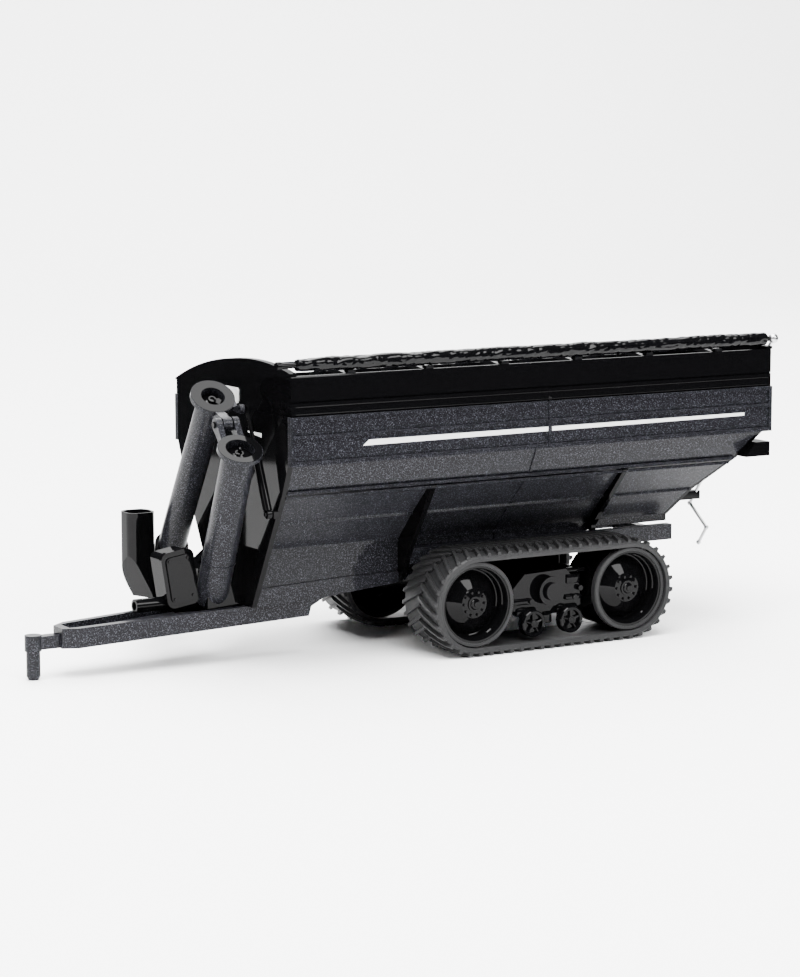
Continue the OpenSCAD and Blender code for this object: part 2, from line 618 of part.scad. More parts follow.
// A cylinder along the fold axis, around a point
module fold_pin(at, r, half) translate(at) rotate([auger_lean, -auger_rake, 0]) rotate([0, 0, auger_twist])
  rotate([0, 90, 0]) translate([0, 0, -half]) cylinder(r = r, h = 2 * half);
module cylinder_bracket() color(gloss) union() {
  slab(cyl_foot[0] + eye_w / 2 + side_gap, tank_x, cyl_foot[1] - eye_r, cyl_foot[1] + eye_r,
    cyl_foot[2] - eye_r, cyl_foot[2] + foot_pin_r);
  fold_pin(cyl_foot, foot_pin_r, foot_reach);
}
module cylinder_barrel() color(gloss) difference() {
  union() {
    cylinder_place() translate([0, 0, barrel_foot]) cylinder(r = barrel_r, h = barrel_len);
    fold_pin(cyl_foot, eye_r, eye_w / 2);
  }
  cylinder_place() translate([0, 0, barrel_foot + eye_r]) cylinder(r = rod_r + run_gap, h = barrel_len);
  fold_pin(cyl_foot, foot_pin_r + run_gap, eye_w);
}
module cylinder_rod() color(bright) cylinder_place() union() {
  translate([0, 0, barrel_foot + 7]) cylinder(r = rod_r, h = cyl_len - barrel_foot - 7.5);
  translate([0, 0, cyl_len]) rotate([90, 0, 90 - cyl_yaw]) translate([0, 0, -0.5]) cylinder(r = eye_r, h = 1);
}

// ---- Rear fittings ----
light_z = deck_z - 16.3;
light_h = 3.3;
light_out = 0.3;
light_y = half_w - 1;
lamp_l = 5;
function wall_x(z) = rear_x - rear_shoulder + (z - shoulder_z) * (rear_shoulder - band_t) / (band_z - shoulder_z);
module light_bar() color(gloss) along_y(-light_y, 2 * light_y) polygon([[wall_x(light_z), light_z],
  [rear_x + light_out, light_z], [rear_x + light_out, light_z + light_h],
  [wall_x(light_z + light_h), light_z + light_h]]);
module tail_lamps() color("darkred") for (side = [-1, 1]) on_side(side)
  slab(rear_x + light_out, rear_x + 2 * light_out, -light_y + 1, -light_y + 1 + lamp_l, light_z + 0.6,
    light_z + light_h - 0.6);

screw_r = 0.8;
screw_h = 0.5;
module assembly_screws() color(bright) for (x = [-1, 1], y = [-1, 1])
  translate([pivot_x + x * saddle_foot / 2, y * (rail_y - rail_t / 2), saddle_z - screw_h])
    cylinder(r = screw_r, h = screw_h);

// ---- Tarp roll and its crank, stowed across the rear ----
stub_roll_r = 0.6;
roll_lift = 0.7;
roll_start = 2;
roll_stub = 2.6;
roll_y = -half_w + 1.6;
roll_z = deck_z + left_ext_h + roll_r + roll_lift;
ball_r = 1.2;
ball_x = rear_x + rear_overhang - ball_r;
module tarp_roll() color(gloss) union() {
  along_x(tank_x + roll_start, tank_l - roll_start - 1) translate([roll_y, roll_z]) circle(r = roll_r);
  along_x(tank_x - roll_stub, tank_l + roll_stub - side_gap) translate([roll_y, roll_z]) circle(r = stub_roll_r);
}
crank_r = 0.4;
joint_r = 0.6;
crank_top = [ball_x, roll_y, roll_z];
crank_foot = [ball_x, 5.5, deck_z - 31.6];
crank_dir = (crank_foot - crank_top) / norm(crank_foot - crank_top);
crank_arm = 8.5;
grip_len = 5;
crank_elbow = crank_foot + crank_arm * [0, crank_dir[2], -crank_dir[1]];
crank_end = crank_elbow + grip_len * crank_dir;
module rod(a, b, r) {
  v = b - a;
  translate(a) rotate([0, 0, atan2(v[1], v[0])]) rotate([0, acos(v[2] / norm(v)), 0]) cylinder(r = r, h = norm(v));
}
module tarp_crank() color(bright) union() {
  rod(crank_top, crank_foot, crank_r);
  rod(crank_foot, crank_elbow, crank_r);
  rod(crank_elbow, crank_end, crank_r);
  for (p = [crank_foot, crank_elbow, crank_end]) translate(p) sphere(r = joint_r);
  translate(crank_top) sphere(r = ball_r);
}
// Arm from the rear wall with an eye the crank's rod turns in
holder_at = crank_foot - 2.9 * crank_dir;
holder_half = 1;
module crank_holder() color(gloss) difference() {
  slab(rear_wall_x + 0.2, holder_at[0] + holder_half, holder_at[1] - holder_half, holder_at[1] + holder_half,
    holder_at[2] - holder_half, holder_at[2] + holder_half);
  tank_rear_wall();
  rod(crank_top, crank_foot, crank_r + run_gap);
}

// ---- Tracks ----
hub_face = 2.4;
module stadium(r) {
  for (s = [-1, 1]) translate([s * wheel_base / 2, 0]) circle(r = r);
  square([wheel_base, 2 * r], center = true);
}
lug_pitch = 2.6;
module belt_profile() difference() {
  union() {
    stadium(belt_inner_r + belt_t);
    for (i = [0 : floor(wheel_base / lug_pitch)]) for (s = [-1, 1])
      translate([-wheel_base / 2 + i * lug_pitch, s * (belt_outer_r - lug_h / 2 - 0.1)]) square([1, lug_h + 0.2], center = true);
    for (s = [-1, 1]) for (a = [12 : 14 : 168]) translate([s * wheel_base / 2, 0]) rotate(s > 0 ? 90 - a : 90 + a)
      translate([belt_outer_r - lug_h / 2 - 0.1, 0]) square([lug_h + 0.2, 1], center = true);
  }
  stadium(belt_inner_r);
}
module track_place(side) on_side(side) translate([pivot_x, 0, wheel_z]) children();
module belt(side) color(satin) track_place(side) along_y(-half_w, belt_w) belt_profile();
module left_belt() belt(-1);
module right_belt() belt(1);
plate_t = 1.2;
roller_dx = 5;
roller_dz = 5.8;
roller_pin_r = 0.8;
frame_y = -half_w + belt_w - plate_t;
pivot_up = pivot_z - wheel_z;
module track_frame(side) color(gloss) track_place(side) difference() {
  union() {
    along_y(frame_y, plate_t) polygon([[-wheel_base / 2 - 2, -2], [-wheel_base / 2 - 2, 2], [-8, 5.4], [7, 5.4],
      [wheel_base / 2 + 2, 2], [wheel_base / 2 + 2, -2], [8, -3.4], [-8, -3.4]]);
    along_y(-half_w + 4, belt_w - 4 - plate_t) polygon([[-9, -3], [-9.4, 1.6], [-6, 5], [5, 5.4], [8.6, 1.6], [9, -3],
      [5, -4.4], [-5, -4.4]]);
    for (s = [-1, 1]) translate([s * wheel_base / 2, frame_y, 0]) rotate([90, 0, 0]) cylinder(r = stub_r, h = belt_w - plate_t - 1.6);
    for (s = [-1, 1]) {
      along_y(-half_w + 4, 2) translate([s * roller_dx, 0]) polygon([[-1.4, -2], [1.4, -2], [1, -roller_dz - 1],
        [-1, -roller_dz - 1]]);
      translate([s * roller_dx, -half_w + 4.2, -roller_dz]) rotate([90, 0, 0]) cylinder(r = roller_pin_r, h = 2.8);
    }
  }
  along_y(-half_w - 1, belt_w + 2) translate([0, pivot_up]) circle(r = journal_r + run_gap);
}
module left_track_frame() track_frame(-1);
module right_track_frame() track_frame(1);
module hub_cap(side) color(gloss) track_place(side) translate([0, -half_w + hub_face, pivot_up]) rotate([90, 0, 0]) union() {
  cylinder(r = 3.3, h = 0.5);
  cylinder(r = 2, h = 1.4);
}
module left_hub_cap() hub_cap(-1);
module right_hub_cap() hub_cap(1);

// Wheel: a dished disc near the outer face and a wide rim
wheel_w = belt_w - plate_t - side_gap - 0.8;
bolt_count = 10;
module wheel_solid() difference() {
  union() {
    rotate_extrude($fn = 64) polygon([[stub_r + run_gap, 0.2], [2.4, 0.2], [2.4, 0.8], [3.4, 1], [3.4, 1.8], [7.2, 3.9], [7.7, 3.6], [8.2, 0.4],
      [8.2, 0], [wheel_r, 0], [wheel_r, wheel_w], [8.4, wheel_w], [8.4, 5], [7, 4.9], [3.4, 3], [3.4, 5], [stub_r + run_gap, 5]]);
    for (i = [0 : bolt_count - 1]) rotate(i * 360 / bolt_count) translate([2.95, 0, 0.6]) cylinder(r = 0.28, h = 0.6);
  }
}
module wheel(side, at) color(gloss) track_place(side) translate([at * wheel_base / 2, -half_w + 0.8, 0]) rotate([-90, 0, 0])
  wheel_solid();
module left_front_wheel() wheel(-1, -1);
module left_rear_wheel() wheel(-1, 1);
module right_front_wheel() wheel(1, -1);
module right_rear_wheel() wheel(1, 1);
roller_w = 2.2;
module roller(side, at) color(satin) track_place(side) translate([at * roller_dx, -half_w + 1.4, -roller_dz])
  rotate([-90, 0, 0]) difference() {
  cylinder(r = roller_r, h = roller_w);
  translate([0, 0, -1]) cylinder(r = roller_pin_r + run_gap, h = roller_w + 2);
}
module left_front_roller() roller(-1, -1);
module left_rear_roller() roller(-1, 1);
module right_front_roller() roller(1, -1);
module right_rear_roller() roller(1, 1);

tank_left_side();
tank_right_side();
tank_front_wall();
tank_rear_wall();
tank_floor();
left_rim_band();
right_rim_band();
front_rim_band();
rear_rim_band();
left_extension();
right_extension();
front_extension();
rear_extension();
front_end_cap();
rear_end_cap();
tarp_bows();
sight_window();
gusset_plates();
chassis_rails();
axle_beam();
axle_saddle();
drawbar();
hitch_pin();
auger_boot();
lower_auger_tube();
fold_hinge_pin();
gearbox_case();
gearbox_cover();
cylinder_bracket();
light_bar();
tail_lamps();
crank_holder();
assembly_screws();
left_hub_cap();
right_hub_cap();
upper_auger_tube();
discharge_spout();
upper_flighting();
lower_flighting();
floor_auger();
pto_shaft();
cylinder_barrel();
cylinder_rod();
tarp_roll();
tarp_crank();
left_track_frame();
left_belt();
left_front_wheel();
left_rear_wheel();
left_front_roller();
left_rear_roller();
right_track_frame();
right_belt();
right_front_wheel();
right_rear_wheel();
right_front_roller();
right_rear_roller();
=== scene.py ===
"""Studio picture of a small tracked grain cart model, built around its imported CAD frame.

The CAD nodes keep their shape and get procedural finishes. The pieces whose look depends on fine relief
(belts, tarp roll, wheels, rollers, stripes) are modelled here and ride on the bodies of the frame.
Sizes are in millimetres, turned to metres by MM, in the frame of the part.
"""

import json
import logging
import math
import random
from dataclasses import dataclass
from enum import Enum
from typing import Iterable, Sequence

import bpy
from mathutils import Matrix, Vector, noise


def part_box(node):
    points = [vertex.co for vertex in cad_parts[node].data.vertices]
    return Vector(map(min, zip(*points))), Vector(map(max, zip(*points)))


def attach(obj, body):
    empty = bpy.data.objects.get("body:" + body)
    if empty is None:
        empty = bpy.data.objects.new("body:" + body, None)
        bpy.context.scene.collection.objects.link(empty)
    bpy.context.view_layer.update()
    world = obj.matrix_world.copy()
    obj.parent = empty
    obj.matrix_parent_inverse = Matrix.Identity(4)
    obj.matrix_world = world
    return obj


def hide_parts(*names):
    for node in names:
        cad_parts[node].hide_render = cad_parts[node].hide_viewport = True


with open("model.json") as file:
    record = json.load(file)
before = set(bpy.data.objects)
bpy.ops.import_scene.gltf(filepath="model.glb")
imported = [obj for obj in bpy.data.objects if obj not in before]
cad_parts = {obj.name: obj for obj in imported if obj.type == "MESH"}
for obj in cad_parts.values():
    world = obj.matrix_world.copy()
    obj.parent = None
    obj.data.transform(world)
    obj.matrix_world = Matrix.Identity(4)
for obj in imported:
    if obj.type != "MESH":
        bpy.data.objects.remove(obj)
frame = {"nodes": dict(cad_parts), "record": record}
LOG = logging.getLogger("grain_cart")
MM = 0.001

Point = Sequence[float]


class Slot(Enum):
    """Material slots of the record."""

    FLAKE = "flake_paint"
    GLOSS = "gloss_paint"
    METAL = "bare_metal"
    BELT = "belt_rubber"
    VINYL = "tarp_vinyl"
    SATIN = "satin_plastic"
    WHITE = "window_white"
    RED = "lamp_red"


class Side(Enum):
    """The two sides of the cart, by the sign of Y."""

    LEFT = -1
    RIGHT = 1

    @property
    def word(self) -> str:
        """Returns: the side's name as the node names spell it."""
        return self.name.lower()


# ---------------------------------------------------------------- finishes


class Expr:
    """A value in a shader tree that can be combined with other values."""

    def __init__(self, tree: bpy.types.NodeTree, socket: bpy.types.NodeSocket):
        self.tree = tree
        self.socket = socket

    def _math(self, kind: str, other: "Expr | float", clamp: bool = False) -> "Expr":
        node = self.tree.nodes.new("ShaderNodeMath")
        node.operation = kind
        node.use_clamp = clamp
        self.tree.links.new(self.socket, node.inputs[0])
        if isinstance(other, Expr):
            self.tree.links.new(other.socket, node.inputs[1])
        else:
            node.inputs[1].default_value = other
        return Expr(self.tree, node.outputs[0])

    def __add__(self, other: "Expr | float") -> "Expr":
        return self._math("ADD", other)

    def __sub__(self, other: "Expr | float") -> "Expr":
        return self._math("SUBTRACT", other)

    def __mul__(self, other: "Expr | float") -> "Expr":
        return self._math("MULTIPLY", other)

    def above(self, limit: float) -> "Expr":
        """Args: limit. Returns: 1 where the value is above the limit, else 0."""
        return self._math("GREATER_THAN", limit)

    def ramp(self, low: float, high: float) -> "Expr":
        """Args: low and high ends. Returns: the value rescaled from [low, high] to [0, 1], clamped."""
        return (self - low)._math("MULTIPLY", 1.0 / (high - low), clamp=True)


@dataclass(frozen=True)
class Finish:
    """One surface finish.

    Attributes are the shader's all-over values; flakes, wrinkle and grain are the varying ones.
    """

    slot: Slot
    color: tuple[float, float, float]
    roughness: float
    metallic: float = 0.0
    specular: float = 0.5
    coat: float = 0.0
    coat_roughness: float = 0.05
    flakes: bool = False
    flake_size: float = 0.12
    wrinkle: float = 0.0
    wrinkle_size: float = 2.0
    grain: float = 0.0


class MaterialShop:
    """Builds and hands out one procedural material per finish."""

    FLAKE_COLOR = (0.062, 0.063, 0.076)
    COARSE_FLAKES = 1.5
    BUMP_DEPTH = 0.3
    GRAIN_SIZE = 3.0

    FINISHES = (
        Finish(Slot.FLAKE, (0.0035, 0.0036, 0.0044), 0.36, 0.05, specular=0.03, coat=0.12, flakes=True),
        Finish(Slot.GLOSS, (0.0015, 0.0015, 0.0017), 0.12, specular=0.0, coat=0.18),
        Finish(Slot.METAL, (0.5, 0.5, 0.51), 0.3, 1.0),
        Finish(Slot.BELT, (0.013, 0.013, 0.0135), 0.5, specular=0.15, grain=0.12),
        Finish(Slot.VINYL, (0.0015, 0.0015, 0.0018), 0.14, specular=0.03, coat=0.2, wrinkle=0.12,
               wrinkle_size=2.2),
        Finish(Slot.SATIN, (0.004, 0.004, 0.0045), 0.3, specular=0.12, grain=0.05),
        Finish(Slot.WHITE, (0.75, 0.75, 0.74), 0.3, coat=0.3),
        Finish(Slot.RED, (0.16, 0.004, 0.004), 0.2, coat=0.5),
    )

    def __init__(self) -> None:
        self.materials = {f.slot: self._build(f) for f in self.FINISHES}

    def _coords(self, tree: bpy.types.NodeTree) -> bpy.types.NodeSocket:
        return tree.nodes.new("ShaderNodeTexCoord").outputs["Object"]

    def _noise(self, tree: bpy.types.NodeTree, size_mm: float, detail: float) -> Expr:
        node = tree.nodes.new("ShaderNodeTexNoise")
        node.inputs["Scale"].default_value = 1.0 / (size_mm * MM)
        node.inputs["Detail"].default_value = detail
        tree.links.new(self._coords(tree), node.inputs["Vector"])
        return Expr(tree, node.outputs[0])

    def _cells(self, tree: bpy.types.NodeTree, size_mm: float) -> Expr:
        node = tree.nodes.new("ShaderNodeTexVoronoi")
        node.inputs["Scale"].default_value = 1.0 / (size_mm * MM)
        tree.links.new(self._coords(tree), node.inputs["Vector"])
        split = tree.nodes.new("ShaderNodeSeparateColor")
        tree.links.new(node.outputs["Color"], split.inputs[0])
        return Expr(tree, split.outputs[0])

    def _build(self, f: Finish) -> bpy.types.Material:
        mat = bpy.data.materials.new(f"finish_{f.slot.value}")
        mat.use_nodes = True
        tree = mat.node_tree
        bsdf = next(n for n in tree.nodes if n.type == "BSDF_PRINCIPLED")
        bsdf.inputs["Base Color"].default_value = (*f.color, 1)
        bsdf.inputs["Roughness"].default_value = f.roughness
        bsdf.inputs["Metallic"].default_value = f.metallic
        bsdf.inputs["Specular IOR Level"].default_value = f.specular
        bsdf.inputs["Coat Weight"].default_value = f.coat
        bsdf.inputs["Coat Roughness"].default_value = f.coat_roughness
        if f.flakes:
            self._add_flakes(tree, bsdf, f)
        if f.grain:
            rough = self._noise(tree, self.GRAIN_SIZE, 4.0).ramp(0.3, 0.7) * f.grain + (f.roughness - f.grain / 2)
            tree.links.new(rough.socket, bsdf.inputs["Roughness"])
        if f.wrinkle:
            bump = tree.nodes.new("ShaderNodeBump")
            bump.inputs["Strength"].default_value = f.wrinkle
            bump.inputs["Distance"].default_value = self.BUMP_DEPTH * MM
            tree.links.new(self._noise(tree, f.wrinkle_size, 3.0).socket, bump.inputs["Height"])
            tree.links.new(bump.outputs[0], bsdf.inputs["Normal"])
        return mat

    def _add_flakes(self, tree: bpy.types.NodeTree, bsdf: bpy.types.Node, f: Finish) -> None:
        fine = self._cells(tree, f.flake_size)
        coarse = self._cells(tree, f.flake_size * self.COARSE_FLAKES)
        amount = fine.above(0.86) * 0.4 + coarse.above(0.95) * 0.5 + fine.ramp(0.0, 1.0) * 0.08
        mix = tree.nodes.new("ShaderNodeMix")
        mix.data_type = "RGBA"
        mix.inputs["A"].default_value = (*f.color, 1)
        mix.inputs["B"].default_value = (*self.FLAKE_COLOR, 1)
        tree.links.new(amount.socket, mix.inputs["Factor"])
        tree.links.new(mix.outputs["Result"], bsdf.inputs["Base Color"])

    def paint(self, obj: bpy.types.Object, slot: Slot) -> None:
        """Args: an object and the slot whose material it gets."""
        obj.data.materials.clear()
        obj.data.materials.append(self.materials[slot])


# ---------------------------------------------------------------- modelling helpers


class Bench:
    """Modelling steps shared by the pieces. Every call leaves a mesh in the part's frame."""

    @staticmethod
    def only(obj: bpy.types.Object) -> bpy.types.Object:
        """Args: an object. Returns: it, selected alone and active."""
        bpy.ops.object.select_all(action="DESELECT")
        obj.select_set(True)
        bpy.context.view_layer.objects.active = obj
        return obj

    @classmethod
    def settle(cls, obj: bpy.types.Object, name: str) -> bpy.types.Object:
        """Applies an object's transform and names it. Args: object, name. Returns: the object."""
        cls.only(obj)
        bpy.ops.object.transform_apply(location=True, rotation=True, scale=True)
        obj.name = obj.data.name = name
        return obj

    @classmethod
    def modify(cls, obj: bpy.types.Object, kind: str, **values: object) -> bpy.types.Object:
        """Adds and applies one modifier. Args: object, modifier type, its values. Returns: the object."""
        cls.only(obj)
        mod = obj.modifiers.new(kind.lower(), kind)
        for key, value in values.items():
            setattr(mod, key, value)
        bpy.ops.object.modifier_apply(modifier=mod.name)
        return obj

    @classmethod
    def soften(cls, obj: bpy.types.Object, width: float, segments: int = 2) -> bpy.types.Object:
        """Bevels the edges by a width in mm. Returns: the object."""
        return cls.modify(obj, "BEVEL", width=width * MM, segments=segments, limit_method="ANGLE")

    @classmethod
    def smooth(cls, obj: bpy.types.Object, angle: float = 35) -> bpy.types.Object:
        """Shades smooth below an edge angle in degrees. Returns: the object."""
        cls.only(obj)
        bpy.ops.object.shade_smooth_by_angle(angle=math.radians(angle))
        return obj

    @classmethod
    def box(cls, name: str, low: Point, high: Point, bevel: float = 0.0) -> bpy.types.Object:
        """Args: two corners in mm and a bevel. Returns: a box."""
        centre = [(a + b) / 2 * MM for a, b in zip(low, high)]
        bpy.ops.mesh.primitive_cube_add(size=1, location=centre)
        obj = bpy.context.object
        obj.scale = [(b - a) * MM for a, b in zip(low, high)]
        cls.settle(obj, name)
        return cls.soften(obj, bevel) if bevel else obj

    @classmethod
    def rod(cls, name: str, start: Point, end: Point, r: float, sides: int = 32) -> bpy.types.Object:
        """Args: ends in mm, radius, sides. Returns: a cylinder."""
        a, b = Vector(start) * MM, Vector(end) * MM
        bpy.ops.mesh.primitive_cone_add(
            vertices=sides, radius1=r * MM, radius2=r * MM,
            depth=(b - a).length, location=(a + b) / 2)
        obj = bpy.context.object
        obj.rotation_euler = (b - a).to_track_quat("Z", "Y").to_euler()
        return cls.settle(obj, name)

    @classmethod
    def from_loops(cls, name: str, loops: Sequence[Sequence[Point]], closed: bool = False,
                   caps: bool = True) -> bpy.types.Object:
        """Skins equal loops of points in mm into a mesh.

        Args: name, loops, whether the last loop joins the first, whether the ends are filled.
        Returns: the object, with outward normals.
        """
        count = len(loops[0])
        verts = [[c * MM for c in p] for loop in loops for p in loop]
        faces = []
        rows = len(loops) if closed else len(loops) - 1
        for i in range(rows):
            a, b = i * count, (i + 1) % len(loops) * count
            faces += [(a + k, a + (k + 1) % count, b + (k + 1) % count, b + k) for k in range(count)]
        if caps and not closed:
            faces += [tuple(range(count)), tuple(range(len(verts) - count, len(verts)))]
        mesh = bpy.data.meshes.new(name)
        mesh.from_pydata(verts, [], faces)
        obj = bpy.data.objects.new(name, mesh)
        bpy.context.scene.collection.objects.link(obj)
        return cls.outward(obj)

    @classmethod
    def outward(cls, obj: bpy.types.Object) -> bpy.types.Object:
        """Turns all normals outward. Returns: the object."""
        cls.only(obj)
        bpy.ops.object.mode_set(mode="EDIT")
        bpy.ops.mesh.select_all(action="SELECT")
        bpy.ops.mesh.remove_doubles(threshold=1e-7)
        bpy.ops.mesh.normals_make_consistent(inside=False)
        bpy.ops.object.mode_set(mode="OBJECT")
        return obj

    @classmethod
    def lathe(cls, name: str, profile: Sequence[tuple[float, float]], origin: Point, axis: Point,
              steps: int = 64) -> bpy.types.Object:
        """Turns a closed profile of (radius, height) in mm about an axis.

        Args: name, profile, a point on the axis, the axis' direction, steps per turn.
        Returns: the turned solid.
        """
        turn = Vector(axis).to_track_quat("Z", "Y").to_matrix()
        loops = []
        for i in range(steps):
            a = 2 * math.pi * i / steps
            ring = [turn @ Vector((r * math.cos(a), r * math.sin(a), h)) + Vector(origin) for r, h in profile]
            loops.append(ring)
        return cls.from_loops(name, loops, closed=True)

    @classmethod
    def join(cls, name: str, objs: Iterable[bpy.types.Object]) -> bpy.types.Object:
        """Joins objects into one. Args: name, objects. Returns: the joined object."""
        objs = list(objs)
        cls.only(objs[0])
        for o in objs:
            o.select_set(True)
        if len(objs) > 1:
            bpy.ops.object.join()
        return cls.settle(bpy.context.object, name)


class Piece:
    """A finished visual piece: painted, riding a body, and standing for CAD nodes where it does."""

    def __init__(self, shop: MaterialShop):
        self.shop = shop

    def finish(self, obj: bpy.types.Object, slot: Slot, body: str, stands_for: Iterable[str] = ()) -> None:
        """Args: the object, its slot, the body it rides on, the nodes it replaces."""
        self.shop.paint(obj, slot)
        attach(obj, body)
        for node in stands_for:
            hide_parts(node)
        LOG.info("%s rides %s", obj.name, body)


# ---------------------------------------------------------------- cart layout


@dataclass(frozen=True)
class Layout:
    """Places of the cart that the pieces share, in mm, read from the CAD boxes."""

    tank_x: float
    rear_x: float
    half_w: float
    deck_z: float
    pivot_x: float
    wheel_z: float
    wheel_base: float
    belt_in: float

    @classmethod
    def read(cls) -> "Layout":
        """Returns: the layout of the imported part."""
        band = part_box("left_rim_band")
        wheel_f, wheel_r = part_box("left_front_wheel"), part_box("left_rear_wheel")
        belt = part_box("left_belt")
        mid = [(w[0].x + w[1].x) / 2 / MM for w in (wheel_f, wheel_r)]
        return cls(
            tank_x=band[0].x / MM, rear_x=band[1].x / MM, half_w=-band[0].y / MM, deck_z=band[1].z / MM,
            pivot_x=sum(mid) / 2, wheel_z=(belt[1].z + belt[0].z) / 2 / MM,
            wheel_base=mid[1] - mid[0], belt_in=-belt[1].y / MM)


class Belt(Piece):
    """One rubber belt: a smooth loop with staggered slanted lugs."""

    INNER_R, THICK, LUG_H = 9.6, 1.2, 0.8
    LUGS = 56
    LUG_W = 1.15
    SWEEP = 3.4

    def __init__(self, shop: MaterialShop, lay: Layout, side: Side):
        super().__init__(shop)
        self.lay, self.side = lay, side
        self.y_out, self.y_in = lay.half_w, lay.belt_in
        self.length = 2 * lay.wheel_base + 2 * math.pi * (self.INNER_R + self.THICK)

    def at(self, s: float, off: float, y: float) -> Vector:
        """Args: distance along the belt, distance from the inner face, distance from the cart's middle.

        Returns: the point in mm. s runs forward along the top, then down round the front wheel.
        """
        outer = self.INNER_R + self.THICK
        r = self.INNER_R + off
        half = self.lay.wheel_base / 2
        turn = math.pi * outer
        s %= self.length
        if s < 2 * half:
            x, z = half - s, r
        elif s < 2 * half + turn:
            a = math.pi / 2 + (s - 2 * half) / outer
            x, z = -half + r * math.cos(a), r * math.sin(a)
        elif s < 4 * half + turn:
            x, z = -half + (s - 2 * half - turn), -r
        else:
            a = -math.pi / 2 + (s - 4 * half - turn) / outer
            x, z = half + r * math.cos(a), r * math.sin(a)
        return Vector((self.lay.pivot_x + x, self.side.value * y, self.lay.wheel_z + z))

    def body(self) -> bpy.types.Object:
        """Returns: the loop without lugs, its outer edges rounded."""
        count = 260
        t, e = self.THICK, 0.35
        section = [(0, self.y_in), (0, self.y_out - 0.1), (0.2, self.y_out), (t - e, self.y_out),
                   (t, self.y_out - e), (t, self.y_in + e), (t - e, self.y_in)]
        loops = [[self.at(self.length * i / count, off, y) for off, y in section] for i in range(count)]
        return Bench.from_loops(f"{self.side.word}_belt_body", loops, closed=True)

    def lug(self, index: int, outer_half: bool) -> bpy.types.Object:
        """Args: the lug's index and which half of the belt it is on. Returns: one slanted lug."""
        mid = (self.y_in + self.y_out) / 2
        pitch = self.length / self.LUGS
        start = pitch * (index + (0.0 if outer_half else 0.5))
        y_a, y_b = (mid - 0.5, self.y_out - 0.1) if outer_half else (mid + 0.5, self.y_in + 0.1)
        stations = 7
        loops = []
        for k in range(stations):
            t = k / (stations - 1)
            s, y = start + self.SWEEP * t, y_a + (y_b - y_a) * t
            top = self.LUG_H * (0.75 if k in (0, stations - 1) else 1.0)
            half, tip = self.LUG_W / 2, self.LUG_W * 0.3
            base = self.THICK - 0.25
            crest = self.THICK + top
            loops.append([self.at(s - half, base, y), self.at(s - tip, crest, y),
                          self.at(s + tip, crest, y), self.at(s + half, base, y)])
        return Bench.from_loops("lug", loops)

    def make(self) -> None:
        """Builds the belt."""
        parts = [self.body()]
        for i in range(self.LUGS):
            parts += [self.lug(i, True), self.lug(i, False)]
        belt = Bench.join(f"{self.side.word}_belt_tread", parts)
        Bench.smooth(belt, 30)
        self.finish(belt, Slot.BELT, f"{self.side.word}_track", [f"{self.side.word}_belt"])


class Wheel(Piece):
    """One dished track wheel with a ring of bolts, a hub and a rubber rim."""

    RIM_R = 9.5
    BOLTS = 10
    BOLT_RING_R = 2.65
    BOLT_R = 0.32

    def __init__(self, shop: MaterialShop, lay: Layout, side: Side, place: str):
        super().__init__(shop)
        self.side, self.place = side, place
        low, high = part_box(f"{side.word}_{place}_wheel")
        self.x, self.z = (low.x + high.x) / 2 / MM, (low.z + high.z) / 2 / MM
        self.face = max(abs(low.y), abs(high.y)) / MM
        self.width = (high.y - low.y) / MM

    def turned(self, name: str, profile: Sequence[tuple[float, float]]) -> bpy.types.Object:
        """Args: name and profile of (radius, depth behind the outer face). Returns: the turned solid."""
        origin = (self.x, self.side.value * self.face, self.z)
        return Bench.lathe(name, profile, origin, (0, -self.side.value, 0), 96)

    def make(self) -> None:
        """Builds the wheel's disc and its rubber rim."""
        w, r = self.width, self.RIM_R
        disc = self.turned("disc", [
            (1.25, 0.9), (1.7, 0.9), (1.7, 1.2), (3.2, 1.35), (3.5, 1.6), (4.6, 2.2), (6.2, 3.2), (7.2, 3.9),
            (7.45, 3.8), (7.6, 2.2), (7.85, 2.0), (7.85, 0.9), (8.1, 0.35), (8.6, 0.3), (8.6, 1.6), (r, 1.6),
            (r, w), (8.4, w), (8.4, 5.2), (6.6, 4.9), (3.5, 3.4), (3.5, 5.0), (1.25, 5.0)])
        parts = [disc]
        y = self.side.value * self.face
        inward = -self.side.value
        for i in range(self.BOLTS):
            a = 2 * math.pi * i / self.BOLTS
            x, z = self.x + self.BOLT_RING_R * math.cos(a), self.z + self.BOLT_RING_R * math.sin(a)
            foot, head = (x, y + inward * 1.6, z), (x, y + inward * 0.85, z)
            parts.append(Bench.rod("bolt", foot, head, self.BOLT_R, 6))
        hub = [(0.0, 0.25), (0.55, 0.25), (0.6, 0.5), (1.05, 0.55), (1.2, 0.75), (1.2, 1.6), (0.0, 1.6)]
        cap = self.turned("cap", hub)
        parts.append(cap)
        name = f"{self.side.word}_{self.place}_wheel"
        wheel = Bench.smooth(Bench.join(f"{name}_disc", parts), 28)
        self.finish(wheel, Slot.GLOSS, name, [name])
        rim = self.turned(f"{name}_rubber", [
            (8.6, 0.05), (9.3, 0.0), (r, 0.25), (r, 1.58), (8.6, 1.58)])
        Bench.smooth(rim, 28)
        self.finish(rim, Slot.BELT, name)


